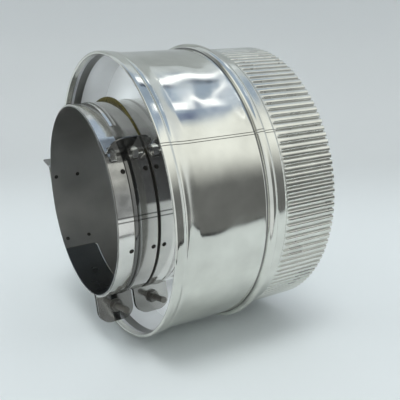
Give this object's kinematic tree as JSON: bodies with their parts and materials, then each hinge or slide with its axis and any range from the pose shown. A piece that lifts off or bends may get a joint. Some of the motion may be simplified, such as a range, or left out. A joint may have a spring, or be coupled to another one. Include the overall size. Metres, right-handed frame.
{
  "type": "double-wall flue adapter",
  "caption": "Round double-wall flue adapter: an outer shell with a rolled rim, a bead and a crimped end, and an inner collar gripped by clamp bands with bolted ears.",
  "frame": {"origin": "on the flue's axis, in the plane of the crimped end's edge, which is the part's lowest", "axes": "+Z along the flue's axis, from the crimped end to the collar's mouth; +X to the middle of the crown bands, so the closing bolts are on the -X side"},
  "size_m": [0.233, 0.233, 0.1625],
  "materials": {
    "shell_steel": "mirror polished",
    "tube_steel": "bright rolled",
    "band_steel": "mirror polished",
    "fastener_steel": "bright plated",
    "seal_rope": "woven fibre rope"
  },
  "bodies": {
    "root": {"outer_shell": "shell_steel", "inner_tube": "tube_steel", "slit_cover": "tube_steel", "rope_seal": "seal_rope", "front_band_crown": "band_steel", "front_band_left": "band_steel", "front_band_right": "band_steel", "rear_band_crown": "band_steel", "rear_band_left": "band_steel", "rear_band_right": "band_steel", "closing_bolt_front": "fastener_steel", "closing_bolt_rear": "fastener_steel", "closing_washer_front": "fastener_steel", "closing_washer_rear": "fastener_steel", "closing_nut_front": "fastener_steel", "closing_nut_rear": "fastener_steel", "spacer_bracket_a": "tube_steel", "spacer_bracket_b": "tube_steel", "spacer_bracket_c": "tube_steel"}
  },
  "joints": []
}
